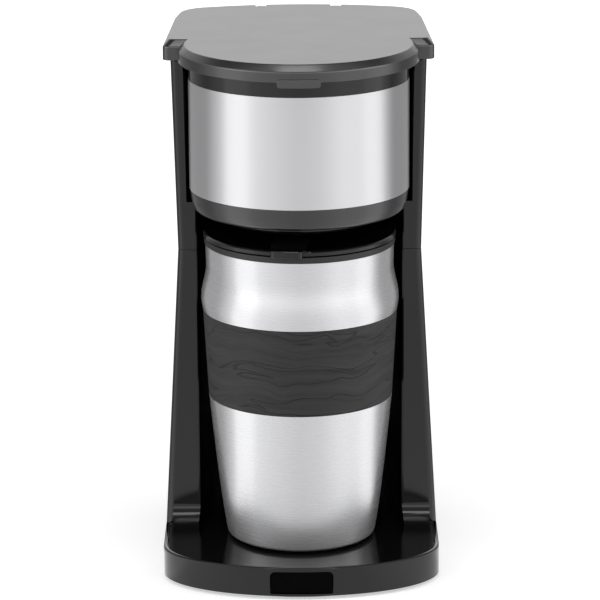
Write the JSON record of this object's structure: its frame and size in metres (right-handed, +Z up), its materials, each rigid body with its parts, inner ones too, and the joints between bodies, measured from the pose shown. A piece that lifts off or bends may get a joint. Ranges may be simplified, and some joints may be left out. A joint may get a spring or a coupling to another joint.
{
  "type": "drip coffee maker",
  "caption": "Compact single-cup drip coffee maker: steel-banded brew head over a tray, hinged lid, rear water tank, flow heater and a lidded steel travel mug with grip sleeve.",
  "frame": {"origin": "middle of the part's plan, on the table under its rubber feet", "axes": "+Z up, +Y to the back where the lid is hinged, +X to the right seen from the front"},
  "size_m": [0.1248, 0.156, 0.2395],
  "materials": {
    "gloss_black": "glossy black moulded ABS",
    "satin_black": "satin black moulded polypropylene",
    "brushed_steel": "brushed stainless steel",
    "bright_steel": "bright zinc-plated or stainless steel",
    "rubber": "matt black rubber",
    "sleeve_rubber": "soft dark silicone with an embossed grain",
    "tank_plastic": "smoky moulded plastic",
    "cast_aluminium": "as-cast aluminium",
    "filter_mesh": "gold-toned woven mesh",
    "silicone": "milky silicone",
    "lamp": "red lamp lens",
    "lead": "red glass-fibre sleeved wire"
  },
  "bodies": {
    "appliance": {"lower_housing": "gloss_black", "bottom_cover": "satin_black", "rubber_feet": "rubber", "base_screws": "bright_steel", "upper_housing": "gloss_black", "water_tank": "tank_plastic", "brew_chamber": "satin_black", "head_top_ring": "gloss_black", "steel_band": "brushed_steel", "head_lower_ring": "gloss_black", "drip_cup": "gloss_black", "filter_basket": "satin_black", "filter_mesh": "filter_mesh", "water_spout": "satin_black", "hinge_pin": "bright_steel", "heater_block": "cast_aluminium", "heater_bracket": "bright_steel", "heater_screws": "bright_steel", "thermostat": "satin_black", "thermal_fuses": "silicone", "check_valve": "satin_black", "inlet_hose": "silicone", "riser_hose": "silicone", "hose_clamps": "bright_steel", "switch_body": "satin_black", "pilot_lamp": "lamp", "leads": "lead", "cord_gland": "rubber"},
    "lid": {"lid": "gloss_black", "lid_liner": "satin_black"},
    "mug": {"mug_shell": "brushed_steel", "mug_liner": "brushed_steel", "mug_sleeve": "sleeve_rubber", "mug_collar": "satin_black", "mug_foot": "rubber"},
    "mug_lid": {"mug_lid": "gloss_black", "mug_gasket": "silicone"},
    "mug_closure": {"mug_closure": "satin_black"},
    "power_button": {"power_button": "satin_black"},
    "check_ball": {"check_ball": "bright_steel"}
  },
  "joints": [
    {"name": "lid_hinge", "type": "hinge", "parent": "appliance", "child": "lid", "pos_m": [0, 0.074, 0.2345], "axis": [-1, 0, 0], "range_deg": [0, 100]},
    {"name": "mug_pull", "type": "slide", "parent": "appliance", "child": "mug", "axis": [0, -0.9983, 0.0576], "range_m": [0, 0.13]},
    {"name": "mug_lid_turn", "type": "hinge", "parent": "mug", "child": "mug_lid", "pos_m": [0, -0.024, 0.1558], "axis": [0, 0, 1], "range_deg": [0, 90]},
    {"name": "closure_slide", "type": "slide", "parent": "mug_lid", "child": "mug_closure", "axis": [0.1357, 0.9907, 0], "range_m": [0, 0.017]},
    {"name": "button_press", "type": "slide", "parent": "appliance", "child": "power_button", "axis": [0, 1, 0], "range_m": [0, 0.0018], "stiffness_N_per_m": 500, "springref_m": -0.0008},
    {"name": "check_ball_lift", "type": "slide", "parent": "appliance", "child": "check_ball", "axis": [0, 0, 1], "range_m": [0, 0.002]}
  ]
}
